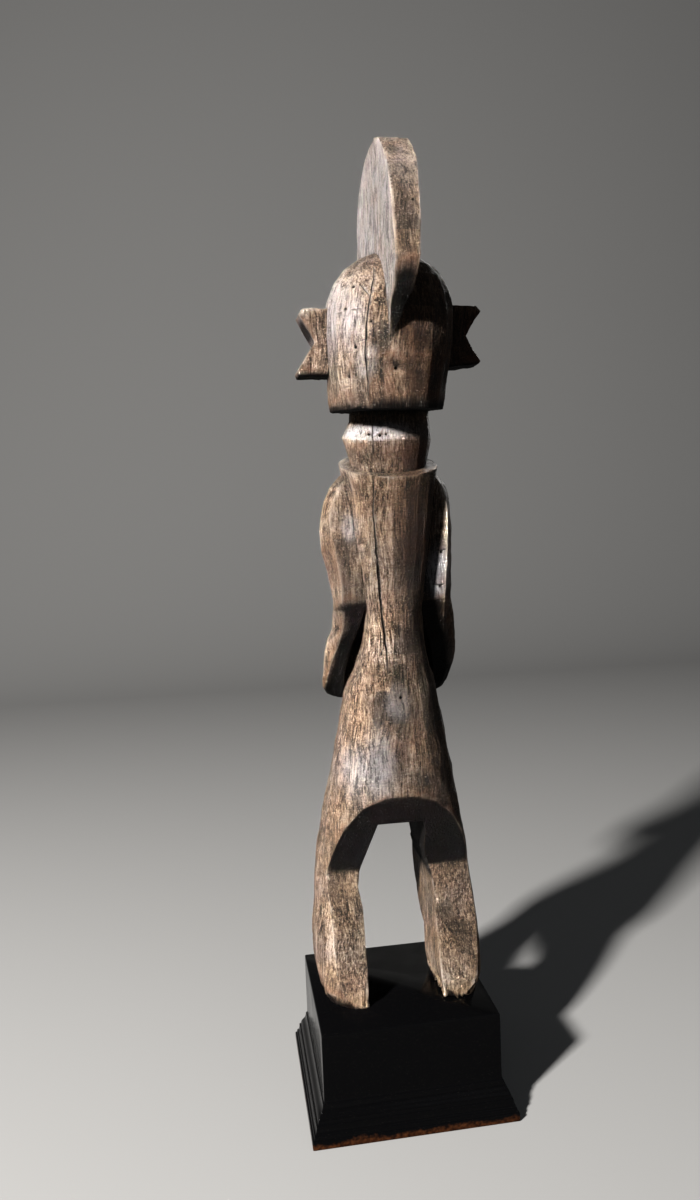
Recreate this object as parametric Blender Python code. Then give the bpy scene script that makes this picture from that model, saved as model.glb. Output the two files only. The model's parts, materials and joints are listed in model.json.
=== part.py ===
# Chamba statue: a carved wooden figure with a disc crest, standing on a stepped lacquered plinth.
# Lengths are in metres, the figure faces -Y and the plinth's underside is at zero height.

import bpy
import numpy as np

# Plinth sizes
BLOCK_SIDE = 0.115
PLINTH_HEIGHT = 0.0687
MOULDING_HEIGHT = 0.025
MOULDING_REACH = 0.009
BLOCK_EDGE = 0.0008

# Moulding from the slab's foot up to the block, as shares of its reach and height
MOULDING = [
    (0.93, 0.0),
    (1.0, 0.024),
    (1.0, 0.216),
    (0.93, 0.24),
    (0.855, 0.24),
    (0.855, 0.328),
    (0.77, 0.344),
    (0.69, 0.416),
    (0.655, 0.488),
    (0.655, 0.544),
    (0.533, 0.56),
    (0.51, 0.64),
    (0.40, 0.72),
    (0.245, 0.792),
    (0.145, 0.872),
    (0.11, 0.968),
    (0.0, 1.0),
]

# The figure's height from its feet to the top of the crest, and the gap under its feet.
# Every other size of the carving below is in thousandths of a metre at that height,
# and keeps its proportion.
FIGURE_HEIGHT = 0.5482
REST_GAP = 0.0003

# Body sections from the feet to the shoulder ledge, heights above the plinth:
# height, centre x, widest y, half width left and right, depth behind and in front, fullness left and right
BODY = [
    (0.0, -4.2, -15.0, 54.0, 49.6, 49.0, 40.0, 4.2, 5.4),
    (8.0, -4.4, -16.0, 57.0, 52.0, 51.5, 44.0, 4.4, 5.8),
    (18.0, -4.6, -16.0, 58.6, 53.0, 51.0, 47.0, 3.5, 5.0),
    (27.0, -4.8, -16.0, 59.0, 53.4, 50.0, 49.0, 3.1, 4.3),
    (39.0, -4.8, -16.0, 58.4, 53.3, 48.0, 49.0, 2.8, 3.9),
    (53.0, -4.6, -16.0, 57.0, 53.0, 47.0, 49.0, 2.3, 3.1),
    (80.0, -4.4, -16.0, 55.4, 51.4, 42.0, 48.0, 1.75, 2.4),
    (94.0, -4.4, -15.6, 52.8, 49.6, 43.0, 46.5, 2.2, 2.7),
    (107.0, -4.3, -15.0, 49.9, 47.5, 43.0, 45.0, 2.6, 3.1),
    (128.0, -4.2, -13.0, 46.1, 44.0, 42.6, 40.0, 2.65, 2.8),
    (155.0, -3.9, -9.0, 39.9, 39.4, 39.0, 34.0, 2.5, 2.6),
    (183.0, -3.8, -5.0, 34.5, 34.5, 33.5, 31.0, 2.3, 2.3),
    (203.0, -4.2, -1.0, 31.4, 30.6, 29.5, 31.0, 2.2, 2.2),
    (220.0, -4.8, 3.0, 25.0, 25.0, 25.5, 30.0, 2.1, 2.1),
    (237.0, -5.8, 6.0, 20.6, 20.6, 21.5, 27.0, 2.1, 2.1),
    (257.0, -6.6, 8.5, 18.2, 18.2, 19.0, 25.0, 2.1, 2.1),
    (277.0, -6.8, 8.5, 20.8, 20.8, 21.0, 26.0, 2.1, 2.1),
    (297.0, -7.0, 8.0, 23.6, 23.6, 24.0, 28.0, 2.1, 2.1),
    (317.0, -7.0, 7.0, 26.6, 26.6, 27.0, 29.0, 2.1, 2.1),
    (332.0, -7.0, 6.0, 28.6, 28.6, 29.5, 30.0, 2.1, 2.1),
    (353.0, -6.6, 4.0, 32.2, 32.2, 32.5, 31.0, 2.1, 2.1),
]
BODY_SIDES = 20
LEDGE_TILT = 16.0

# Rear cut of the legs, as a side profile: under the seat, the knee hollow, the calf and the heel
SEAT = (36.0, 151.0)
KNEE_HOLLOW = (0.0, 80.0)
HEEL = (31.0, 9.0)
HEEL_FOOT = (32.0, 0.0)

# Front of the legs, as a side profile from the toes up to the thigh
SHIN = [
    (-19.0, 0.0),
    (-23.0, 13.0),
    (-27.0, 28.0),
    (-38.0, 33.0),
    (-46.0, 39.0),
    (-53.0, 47.0),
    (-60.0, 60.0),
    (-63.0, 76.0),
]

# Gap between the legs: x at GAP_BACK, x at GAP_FRONT, height
GAP_BACK = 20.0
GAP_FRONT = -60.0
LEG_GAP = [
    (22.4, 22.4, -20.0),
    (21.4, 22.5, 59.0),
    (20.6, 23.5, 84.0),
    (11.1, 14.0, 117.5),
    (-18.5, -22.0, 117.5),
    (-21.2, -25.0, 111.0),
    (-23.2, -25.8, 84.0),
    (-26.6, -26.6, 77.0),
    (-26.7, -27.0, 40.0),
    (-28.4, -27.6, -20.0),
]

# Neck sections: height, centre x, centre y, half width, half depth, tilt
NECK = [
    (338.0, -7.0, 3.0, 22.0, 22.0, 16.0),
    (355.0, -7.0, 3.0, 25.2, 25.0, 14.0),
    (370.6, -6.8, 2.0, 29.0, 29.0, 9.0),
    (381.0, -9.0, 2.0, 26.0, 26.5, 4.0),
    (396.0, -9.0, 3.0, 25.6, 26.0, 0.0),
]
NECK_SIDES = 16
NECK_FULLNESS = 2.1

# Head sections: height, centre x, widest y, half width, depth behind, depth in front
HEAD = [
    (386.5, -5.4, 12.0, 35.8, 44.0, 34.0),
    (402.0, -6.4, 13.0, 37.8, 46.5, 40.0),
    (415.0, -7.2, 14.0, 39.0, 48.0, 43.0),
    (431.0, -8.2, 14.0, 40.2, 48.0, 46.0),
    (443.0, -8.8, 14.0, 40.6, 46.5, 47.0),
    (455.0, -9.0, 14.0, 39.4, 43.0, 45.0),
    (464.5, -9.4, 14.0, 35.8, 37.0, 40.0),
    (473.0, -9.8, 14.0, 29.4, 29.0, 32.0),
    (479.5, -9.4, 14.0, 20.0, 19.0, 21.0),
    (483.5, -9.0, 14.0, 9.0, 8.0, 10.0),
]
HEAD_SIDES = 20
HEAD_FULLNESS = 2.2
HEAD_TILT = 4.0

# Crest disc: rim points (y, height) from the tip on the nape round to the forehead, with the thickness there
CREST_LEFT_FACE = 0.0
CREST_RIM = [
    (60.5, 423.0, 1.0),
    (68.0, 437.0, 7.4),
    (80.0, 447.0, 11.2),
    (86.0, 456.0, 13.4),
    (88.0, 464.5, 14.8),
    (85.8, 479.0, 16.0),
    (84.0, 487.5, 16.4),
    (80.0, 502.5, 17.0),
    (72.0, 520.5, 18.0),
    (62.0, 531.0, 18.2),
    (48.0, 542.5, 18.0),
    (33.0, 548.0, 17.6),
    (14.0, 548.2, 17.6),
    (-5.0, 546.6, 17.4),
    (-20.0, 541.6, 17.0),
    (-33.5, 534.8, 16.6),
    (-43.5, 523.0, 16.4),
    (-48.6, 510.5, 16.2),
    (-49.4, 496.0, 15.8),
    (-47.0, 480.0, 15.0),
    (-41.0, 466.0, 12.4),
    (-31.0, 455.0, 8.0),
]
CREST_THICKNESS = 17.4

# Ears, seen from the back
EAR_FRONT = -1.0
EAR_BACK = 18.0
LEFT_EAR = [
    (20.0, 450.4),
    (46.4, 449.2),
    (49.0, 446.4),
    (39.6, 429.0),
    (51.2, 411.0),
    (50.2, 408.6),
    (20.0, 408.8),
]
RIGHT_EAR = [
    (-30.0, 452.6),
    (-65.4, 451.6),
    (-68.2, 448.2),
    (-58.2, 432.6),
    (-67.8, 416.4),
    (-66.0, 414.6),
    (-30.0, 411.4),
]

# Arm sections from the shoulder to the hand: height, then y of the web behind,
# the rear face at its inner edge, the ridge, the outermost line and the front
ARM_DEPTHS = [
    (346.5, 8.0, 8.5, 9.0, -2.0, -12.0),
    (339.0, 11.0, 11.5, 12.0, -3.0, -14.0),
    (330.0, 12.0, 12.5, 13.0, -4.0, -16.0),
    (320.0, 13.0, 13.5, 14.0, -4.0, -18.0),
    (310.0, 13.0, 13.5, 14.0, -4.0, -18.0),
    (297.0, 13.0, 13.5, 14.0, -5.0, -19.0),
    (284.0, 13.0, 13.5, 14.0, -5.0, -21.0),
    (274.0, 12.0, 12.5, 13.0, -5.0, -24.0),
    (264.0, 11.0, 11.5, 12.0, -5.0, -28.0),
    (258.0, -2.0, 8.0, 9.0, -6.0, -31.0),
    (246.0, -10.0, 3.0, 4.0, -8.0, -36.0),
    (236.0, -15.0, -2.0, -1.0, -11.0, -40.0),
    (224.0, -20.0, -9.0, -8.0, -17.0, -44.0),
    (212.0, -24.0, -15.0, -14.0, -22.0, -46.0),
    (203.0, -26.0, -20.0, -19.0, -26.0, -46.0),
    (198.0, -27.0, -25.0, -24.0, -29.0, -44.0),
    (195.0, -28.0, -27.5, -27.0, -31.0, -40.0),
]
# x of the inner edge, ridge, outermost line, front outer edge and front inner edge at those heights
LEFT_ARM = [
    (14.0, 21.0, 24.6, 22.0, 0.0),
    (16.0, 27.0, 31.4, 28.0, 0.0),
    (18.0, 31.4, 35.2, 32.0, 0.0),
    (20.0, 34.4, 37.6, 34.0, 0.0),
    (20.0, 33.4, 38.9, 35.0, 0.0),
    (18.0, 31.2, 38.2, 34.0, 0.0),
    (14.0, 29.2, 35.5, 31.0, 0.0),
    (12.0, 28.0, 33.5, 29.0, 0.0),
    (11.0, 28.2, 31.9, 28.0, 2.0),
    (13.0, 25.8, 31.8, 28.0, 4.0),
    (16.0, 26.8, 32.4, 29.0, 7.0),
    (20.0, 29.4, 36.4, 31.0, 9.0),
    (23.0, 33.6, 38.2, 33.0, 10.0),
    (25.0, 37.0, 38.8, 34.0, 11.0),
    (25.0, 37.4, 38.8, 34.0, 12.0),
    (24.0, 33.6, 36.4, 32.0, 13.0),
    (23.0, 29.0, 31.0, 29.0, 15.0),
]
RIGHT_ARM = [
    (-28.0, -35.0, -40.2, -36.0, -14.0),
    (-30.0, -40.0, -46.5, -42.0, -14.0),
    (-32.0, -42.8, -49.6, -46.0, -14.0),
    (-33.0, -43.4, -49.9, -48.0, -14.0),
    (-33.0, -43.0, -50.5, -48.0, -14.0),
    (-31.0, -42.6, -50.2, -47.0, -14.0),
    (-28.0, -42.0, -49.8, -45.0, -14.0),
    (-26.0, -41.2, -49.2, -43.0, -14.0),
    (-25.0, -40.2, -48.8, -42.0, -16.0),
    (-25.0, -41.0, -49.3, -42.0, -18.0),
    (-28.0, -41.2, -51.2, -43.0, -21.0),
    (-32.0, -42.0, -52.2, -45.0, -23.0),
    (-35.0, -44.4, -53.0, -47.0, -24.0),
    (-37.0, -46.0, -51.8, -47.0, -25.0),
    (-37.0, -44.0, -48.6, -45.0, -26.0),
    (-36.0, -42.0, -45.4, -43.0, -27.0),
    (-35.0, -39.0, -41.0, -40.0, -29.0),
]
ARM_OVERLAP = 4.0
ARM_WEB_STEP = 1.5

# Face, on the hidden front: the flat it is carved in, brows, nose, eyes and mouth
FACE_FLAT = -29.0
FACE_CENTRE = -8.8
FACE_TOP = 452.0
FACE_TOP_RISE = 14.0
FACE_TOP_RUN = 31.0
FACE_ROOT = 8.0
BROW = [
    (-1.0, 441.0),
    (9.0, 446.6),
    (20.0, 446.0),
    (29.0, 440.0),
    (31.0, 443.0),
    (24.0, 450.0),
    (12.0, 451.4),
    (-1.0, 449.0),
]
BROW_FRONT = -34.5
NOSE = [(413.0, 6.4, -40.5), (418.0, 6.0, -41.0), (430.0, 4.0, -37.5), (446.0, 3.0, -34.0)]
NOSE_BRIDGE = 0.45
EYE_HEIGHT = 434.0
EYE_SPREAD = 15.0
EYE_SIZE = (17.0, 7.6)
EYE_FRONT = -33.0
MOUTH_HEIGHT = 402.5
MOUTH_SIZE = (21.0, 8.6)
MOUTH_FRONT = -36.5
SLIT = 1.3
SLIT_DEPTH = 1.6

NAVEL_X = -4.8
NAVEL_HEIGHT = 224.0
NAVEL_RADIUS = 4.2
NAVEL_FRONT = -32.0
NAVEL_ROOT = 22.0

# How far cutting shapes run past the wood, and their reach where its length doesn't matter
CUT_PAST = 20.0
CUT_FAR = 200.0


def solid(name, points, faces):
    """Adds one mesh object."""
    mesh = bpy.data.meshes.new(name)
    mesh.from_pydata(np.asarray(points, float).tolist(), [], faces)
    mesh.validate()
    thing = bpy.data.objects.new(name, mesh)
    bpy.context.scene.collection.objects.link(thing)
    return thing


def placed(points):
    """Carving sizes to metres, standing on the plinth."""
    points = np.asarray(points, float) * UNIT
    points[:, 2] += PLINTH_HEIGHT + REST_GAP
    return points


def loft(name, rings):
    """Closes a stack of equal rings, running anticlockwise seen from above, into one body."""
    count = len(rings[0])
    points = np.concatenate(rings)
    faces = [list(range(count))[::-1]]
    for level in range(len(rings) - 1):
        for i in range(count):
            j = (i + 1) % count
            low = level * count
            faces.append([low + i, low + j, low + count + j, low + count + i])
    top = (len(rings) - 1) * count
    faces.append([top + i for i in range(count)])
    return solid(name, points, faces)


def prism(name, outline, across, start, end):
    """Carries an outline along x (outline of y, z) or along y (outline of x, z)."""
    outline = np.asarray(outline, float)
    following = np.roll(outline, -1, axis=0)
    area = np.sum(outline[:, 0] * following[:, 1] - following[:, 0] * outline[:, 1])
    if (area < 0) == (across == "x"):
        outline = outline[::-1]
    rings = []
    for place in (start, end):
        ring = np.full((len(outline), 3), float(place))
        ring[:, [1, 2] if across == "x" else [0, 2]] = outline
        rings.append(placed(ring))
    return loft(name, rings)


def boss(name, centre_x, height, size, back, front, shrink):
    """A low raised oval facing -Y, smaller at its face."""
    turn = np.arange(12) * 2 * np.pi / 12
    rings = []
    for y, scale in ((front, shrink), (back, 1.0)):
        ring = np.zeros((12, 3))
        ring[:, 0] = centre_x + size[0] / 2 * scale * np.cos(turn)
        ring[:, 1] = y
        ring[:, 2] = height + size[1] / 2 * scale * np.sin(turn)
        rings.append(placed(ring))
    return loft(name, rings[::-1])


def combine(target, tool, how):
    """Joins, cuts or keeps the common part, then drops the tool."""
    step = target.modifiers.new(how, "BOOLEAN")
    step.operation = how
    step.solver = "EXACT"
    step.object = tool
    bpy.context.view_layer.update()
    shape = bpy.data.meshes.new_from_object(target.evaluated_get(bpy.context.evaluated_depsgraph_get()))
    target.modifiers.clear()
    target.data = shape
    bpy.data.objects.remove(tool)


def section(height, x, y, left, right, behind, front, full_left, full_right, sides, tilt):
    """One faceted ring: four quarters of full ovals that meet on the widest line, tilted down at the back."""
    turn = (np.arange(sides) + 0.5) * 2 * np.pi / sides
    power = 2.0 / np.where(np.cos(turn) > 0, full_left, full_right)
    across = np.sign(np.cos(turn)) * np.abs(np.cos(turn)) ** power
    depth = np.sign(np.sin(turn)) * np.abs(np.sin(turn)) ** power
    ring = np.zeros((sides, 3))
    ring[:, 0] = x + np.where(across > 0, left, right) * across
    ring[:, 1] = y + np.where(depth > 0, behind, front) * depth
    ring[:, 2] = height - np.tan(np.radians(tilt)) * (ring[:, 1] - y)
    return placed(ring)


def coat(thing, name, colour, roughness):
    """Gives a piece its own material."""
    material = bpy.data.materials.new(name)
    material.use_nodes = True
    shader = material.node_tree.nodes["Principled BSDF"]
    shader.inputs["Base Color"].default_value = (*colour, 1.0)
    shader.inputs["Roughness"].default_value = roughness
    shader.inputs["Metallic"].default_value = 0.0
    thing.data.materials.clear()
    thing.data.materials.append(material)


for thing in list(bpy.data.objects):
    bpy.data.objects.remove(thing)

UNIT = FIGURE_HEIGHT / max(height for y, height, thickness in CREST_RIM)

# Plinth: square rings from the slab up through the moulding to the block's edge
half = BLOCK_SIDE / 2
profile = [(half + MOULDING_REACH * reach, MOULDING_HEIGHT * rise) for reach, rise in MOULDING]
profile += [(half, PLINTH_HEIGHT - BLOCK_EDGE), (half - BLOCK_EDGE, PLINTH_HEIGHT)]
rings = []
for reach, height in profile:
    corners = np.array([(-1, -1), (1, -1), (1, 1), (-1, 1)]) * reach
    rings.append(np.column_stack([corners, np.full(4, height)]))
plinth = loft("plinth", rings)
coat(plinth, "black_lacquer", (0.006, 0.006, 0.007), 0.16)

# Body: the log carved to legs, hips, torso and shoulder ledge
rings = []
for row in BODY:
    tilt = LEDGE_TILT if row is BODY[-1] else 0.0
    rings.append(section(*row, BODY_SIDES, tilt))
figure = loft("figure", rings)

slope = (SEAT[1] - KNEE_HOLLOW[1]) / (SEAT[0] - KNEE_HOLLOW[0])
beyond = (SEAT[0] + 2 * CUT_PAST, SEAT[1] + 2 * CUT_PAST * slope)
rear_cut = [beyond, KNEE_HOLLOW, HEEL, HEEL_FOOT, (HEEL_FOOT[0], -CUT_PAST)]
rear_cut += [(CUT_FAR, -CUT_PAST), (CUT_FAR, beyond[1])]
combine(figure, prism("rear_cut", rear_cut, "x", -CUT_FAR, CUT_FAR), "DIFFERENCE")

front_cut = [(SHIN[0][0], -CUT_PAST)] + SHIN + [(-CUT_FAR, SHIN[-1][1]), (-CUT_FAR, -CUT_PAST)]
combine(figure, prism("front_cut", front_cut, "x", -CUT_FAR, CUT_FAR), "DIFFERENCE")

outlines = []
for y in (-CUT_FAR, CUT_FAR):
    share = (y - GAP_BACK) / (GAP_FRONT - GAP_BACK)
    outlines.append(placed([(back + (front - back) * share, y, z) for back, front, z in LEG_GAP[::-1]]))
combine(figure, loft("leg_gap", outlines), "DIFFERENCE")

# Arms: upper arm webbed to the torso, forearm running down and forward to the side of the belly
for name, widths, sign in (("left_arm", LEFT_ARM, 1), ("right_arm", RIGHT_ARM, -1)):
    rings = []
    for depths, across in zip(ARM_DEPTHS, widths):
        height, web, rear, ridge, side, front = depths
        inner_x, ridge_x, side_x, front_x, belly_x = across
        ring = [
            (BODY[0][1] - sign * ARM_OVERLAP, web),
            (belly_x, front),
            (front_x, front),
            (side_x, side),
            (ridge_x, ridge),
            (inner_x, rear),
            (inner_x - sign * ARM_WEB_STEP, web),
        ]
        ring = placed([(x, y, height) for x, y in ring])
        rings.append(ring[::sign])
    combine(figure, loft(name, rings[::-1]), "UNION")

# Neck with its ring
rings = []
for height, x, y, half_width, half_depth, tilt in NECK:
    full = NECK_FULLNESS
    widths = (half_width, half_width, half_depth, half_depth)
    rings.append(section(height, x, y, *widths, full, full, NECK_SIDES, tilt))
combine(figure, loft("neck", rings), "UNION")

# Head
rings = []
for height, x, y, half_width, behind, front in HEAD:
    tilt = HEAD_TILT if height == HEAD[0][0] else 0.0
    full = HEAD_FULLNESS
    rings.append(section(height, x, y, half_width, half_width, behind, front, full, full, HEAD_SIDES, tilt))
head = loft("head", rings)
flat_low = HEAD[0][0] - CUT_PAST
flat_front = FACE_FLAT - FACE_TOP_RUN
flat = [(flat_front, flat_low), (FACE_FLAT, flat_low), (FACE_FLAT, FACE_TOP)]
flat.append((flat_front, FACE_TOP + FACE_TOP_RISE))
combine(head, prism("face_flat", flat, "x", -CUT_FAR, CUT_FAR), "DIFFERENCE")
combine(figure, head, "UNION")

# Crest disc: flat on its left side, with the right side drawn in to the tips
rim = np.array(CREST_RIM)
count = len(rim)
left = np.column_stack([np.full(count, CREST_LEFT_FACE), rim[:, 0], rim[:, 1]])
right = left.copy()
right[:, 0] -= rim[:, 2]
middle = left.mean(axis=0)
points = placed(np.concatenate([left, right, [middle, middle - [CREST_THICKNESS, 0, 0]]]))
faces = []
for i in range(count):
    j = (i + 1) % count
    faces.append([i, j, count + j, count + i])
    faces.append([j, i, 2 * count])
    faces.append([count + i, count + j, 2 * count + 1])
combine(figure, solid("crest", points, faces), "UNION")

# Ears
for name, outline in (("left_ear", LEFT_EAR), ("right_ear", RIGHT_EAR)):
    combine(figure, prism(name, outline, "y", EAR_FRONT, EAR_BACK), "UNION")

# Face and navel
face_root = FACE_FLAT + FACE_ROOT
for sign in (-1, 1):
    outline = [(FACE_CENTRE + sign * x, z) for x, z in BROW]
    combine(figure, prism("brow", outline, "y", BROW_FRONT, face_root), "UNION")
    eye = boss("eye", FACE_CENTRE + sign * EYE_SPREAD, EYE_HEIGHT, EYE_SIZE, face_root, EYE_FRONT, 0.7)
    combine(figure, eye, "UNION")
rings = []
for height, half_width, front in NOSE:
    bridge = half_width * NOSE_BRIDGE
    ring = [(-half_width, face_root), (-bridge, front), (bridge, front), (half_width, face_root)]
    rings.append(placed([(FACE_CENTRE + x, y, height) for x, y in ring]))
combine(figure, loft("nose", rings), "UNION")
mouth = boss("mouth", FACE_CENTRE, MOUTH_HEIGHT, MOUTH_SIZE, face_root, MOUTH_FRONT, 0.75)
combine(figure, mouth, "UNION")
navel_size = (2 * NAVEL_RADIUS, 2 * NAVEL_RADIUS)
navel = boss("navel", NAVEL_X, NAVEL_HEIGHT, navel_size, NAVEL_FRONT + NAVEL_ROOT, NAVEL_FRONT, 0.7)
combine(figure, navel, "UNION")
slits = [
    (FACE_CENTRE - EYE_SPREAD, EYE_HEIGHT, EYE_SIZE[0] * 0.6, EYE_FRONT),
    (FACE_CENTRE + EYE_SPREAD, EYE_HEIGHT, EYE_SIZE[0] * 0.6, EYE_FRONT),
    (FACE_CENTRE, MOUTH_HEIGHT, MOUTH_SIZE[0] * 0.7, MOUTH_FRONT),
]
for x, height, length, front in slits:
    low, high = height - SLIT / 2, height + SLIT / 2
    outline = [(x - length / 2, low), (x + length / 2, low), (x + length / 2, high), (x - length / 2, high)]
    combine(figure, prism("slit", outline, "y", front - CUT_PAST, front + SLIT_DEPTH), "DIFFERENCE")
coat(figure, "carved_wood", (0.19, 0.135, 0.092), 0.74)
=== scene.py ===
# Chamba statue: an old carved wooden figure with a disc crest, standing on a black lacquered plinth.
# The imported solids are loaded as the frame, and the sections below dress them from the plinth upwards.

import json

import bmesh
import bpy
import numpy as np
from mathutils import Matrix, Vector
from mathutils.bvhtree import BVHTree

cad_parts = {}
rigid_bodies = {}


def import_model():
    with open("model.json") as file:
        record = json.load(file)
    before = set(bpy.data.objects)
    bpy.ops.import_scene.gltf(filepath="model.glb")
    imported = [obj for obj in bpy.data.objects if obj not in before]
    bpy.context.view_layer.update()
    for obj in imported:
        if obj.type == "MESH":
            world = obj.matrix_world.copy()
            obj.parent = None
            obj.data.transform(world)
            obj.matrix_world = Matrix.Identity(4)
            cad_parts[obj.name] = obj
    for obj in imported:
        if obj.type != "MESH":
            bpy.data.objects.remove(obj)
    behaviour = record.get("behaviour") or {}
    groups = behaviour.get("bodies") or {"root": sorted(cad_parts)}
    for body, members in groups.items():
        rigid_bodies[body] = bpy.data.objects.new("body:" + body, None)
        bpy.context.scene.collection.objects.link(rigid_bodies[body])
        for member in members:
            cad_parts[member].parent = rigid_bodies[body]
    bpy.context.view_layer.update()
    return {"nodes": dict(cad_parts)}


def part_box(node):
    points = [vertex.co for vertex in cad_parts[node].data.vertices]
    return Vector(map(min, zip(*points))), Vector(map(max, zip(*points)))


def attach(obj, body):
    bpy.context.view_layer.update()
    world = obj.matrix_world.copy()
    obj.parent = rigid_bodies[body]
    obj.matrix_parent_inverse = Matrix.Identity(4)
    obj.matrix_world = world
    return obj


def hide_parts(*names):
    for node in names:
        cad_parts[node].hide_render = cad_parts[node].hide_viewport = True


for thing in list(bpy.data.objects):
    bpy.data.objects.remove(thing)
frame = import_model()

# Plinth
# A square block over a stepped moulding, worked out of one piece of wood, rubbed down and finished in black
# lacquer. Its bottom edge is brown and rougher. It stands loose on the floor.
PLINTH_TOP = 68.7
CORNER_ROUND = 0.5
CORNER_STEPS = 6
SIDE_STEPS = 9
EDGE_GUARD = 0.35
# Half side and height in millimetres, from the floor up
MOULDING_LINE = [
    (64.6, 0.0),
    (66.4, 0.35),
    (66.5, 5.3),
    (65.9, 6.0),
    (65.2, 6.1),
    (65.2, 8.2),
    (64.4, 8.6),
    (63.9, 9.5),
    (63.5, 11.0),
    (63.4, 12.2),
    (63.4, 13.6),
    (62.3, 14.0),
    (62.2, 15.0),
    (61.9, 16.2),
    (61.2, 17.6),
    (60.2, 18.9),
    (59.5, 20.0),
    (58.9, 21.6),
    (58.6, 23.2),
    (58.5, 24.4),
    (57.5, 24.9),
    (57.5, 46.0),
    (57.5, 68.0),
    (56.8, PLINTH_TOP),
]


def softened(line, guard):
    """A profile with small rounded corners: each corner gets a guard point close by on both sides,
    and then every run is cut at its quarter points, twice over."""
    line = np.asarray(line, float)
    gaps = np.diff(line, axis=0)
    lengths = np.linalg.norm(gaps, axis=1, keepdims=True)
    near = np.minimum(guard, lengths * 0.33)
    ahead = line[:-1] + gaps / lengths * near
    behind = line[1:] - gaps / lengths * near
    rows = np.stack([ahead, behind], axis=1).reshape(-1, 2)
    rows = np.vstack([line[:1], rows, line[-1:]])
    for turn in range(2):
        first = rows[:-1] * 0.75 + rows[1:] * 0.25
        second = rows[:-1] * 0.25 + rows[1:] * 0.75
        cuts = np.stack([first, second], axis=1).reshape(-1, 2)
        rows = np.vstack([line[:1], cuts, line[-1:]])
    return rows


def square_path(corner_steps, side_steps):
    """Two direction fields round a square: from the centre to the corner's arc centre, and out along the arc.
    On a side the first runs straight from corner to corner and the second points square to the side."""
    turn = np.linspace(0, np.pi / 2, corner_steps)
    to_centre = []
    outward = []
    for quarter in range(4):
        angle = quarter * np.pi / 2
        spin = np.array([[np.cos(angle), -np.sin(angle)], [np.sin(angle), np.cos(angle)]])
        to_centre.append(np.tile(spin @ [1, 1], (corner_steps, 1)))
        outward.append(np.column_stack([np.cos(turn), np.sin(turn)]) @ spin.T)
        along = np.linspace(1, -1, side_steps + 2)[1:-1]
        to_centre.append(np.column_stack([along, np.ones(side_steps)]) @ spin.T)
        outward.append(np.tile(spin @ [0, 1], (side_steps, 1)))
    return np.vstack(to_centre), np.vstack(outward)


def carried(rows, to_centre, outward, round_by):
    """Carries a profile of (half side, height) round the square path: a point is the arc centre's direction
    times the half side less the rounding, plus the outward direction times the rounding."""
    half = rows[:, 0][:, None, None]
    flat = (half - round_by) * to_centre[None] + round_by * outward[None]
    height = np.broadcast_to(rows[:, 1][:, None, None], (len(rows), len(to_centre), 1))
    return np.concatenate([flat, height], axis=2).reshape(-1, 3) / 1000


def ring_faces(levels, around, start=0):
    """Four-sided faces between rings of points that lie one on another, and one face over each end."""
    level, step = np.meshgrid(np.arange(levels - 1), np.arange(around), indexing="ij")
    here = start + level * around + step
    after = start + level * around + (step + 1) % around
    faces = np.stack([here, after, after + around, here + around], axis=-1).reshape(-1, 4).tolist()
    faces.append((start + np.arange(around))[::-1].tolist())
    faces.append((start + np.arange(around) + (levels - 1) * around).tolist())
    return faces


def piece_of(name, points, faces):
    """Puts points and faces into a mesh, and its object into the scene."""
    mesh = bpy.data.meshes.new(name)
    mesh.from_pydata(points, [], faces)
    thing = bpy.data.objects.new(name, mesh)
    bpy.context.scene.collection.objects.link(thing)
    return thing


def feed(tree, socket, value):
    """Links an input to another node's output, or sets it to a plain value."""
    if isinstance(value, bpy.types.NodeSocket):
        tree.links.new(value, socket)
    else:
        socket.default_value = value


def add(tree, kind, inputs=None, **settings):
    """Adds a shader node, sets its choices, and links or sets its inputs."""
    made = tree.nodes.new(kind)
    for key, value in settings.items():
        setattr(made, key, value)
    for key, value in (inputs or {}).items():
        feed(tree, made.inputs[key], value)
    return made


def noise(tree, place, scale, detail, roughness=0.5):
    """Cloudy values about one half, finer with a larger scale and with more detail."""
    wanted = {"Vector": place, "Scale": scale, "Detail": detail, "Roughness": roughness}
    return add(tree, "ShaderNodeTexNoise", wanted).outputs["Fac"]


def ramp(tree, value, stops):
    """A colour ramp with these (place, colour) stops; a plain number stands for a grey."""
    made = add(tree, "ShaderNodeValToRGB", {"Fac": value})
    while len(made.color_ramp.elements) < len(stops):
        made.color_ramp.elements.new(0.5)
    for element, (place, colour) in zip(made.color_ramp.elements, stops):
        element.position = place
        element.color = (*colour, 1.0) if isinstance(colour, tuple) else (*[colour] * 3, 1.0)
    return made.outputs["Color"]


def blend_colours(tree, share, first, second, how="MIX"):
    """Mixes two colours by a share."""
    made = add(tree, "ShaderNodeMix", data_type="RGBA", blend_type=how)
    for key, value in ((0, share), (6, first), (7, second)):
        feed(tree, made.inputs[key], (*value, 1.0) if isinstance(value, tuple) else value)
    return made.outputs[2]


def reckon(tree, how, *values):
    """One step of arithmetic on sockets or numbers."""
    made = add(tree, "ShaderNodeMath", operation=how)
    for key, value in enumerate(values):
        feed(tree, made.inputs[key], value)
    return made.outputs[0]


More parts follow.
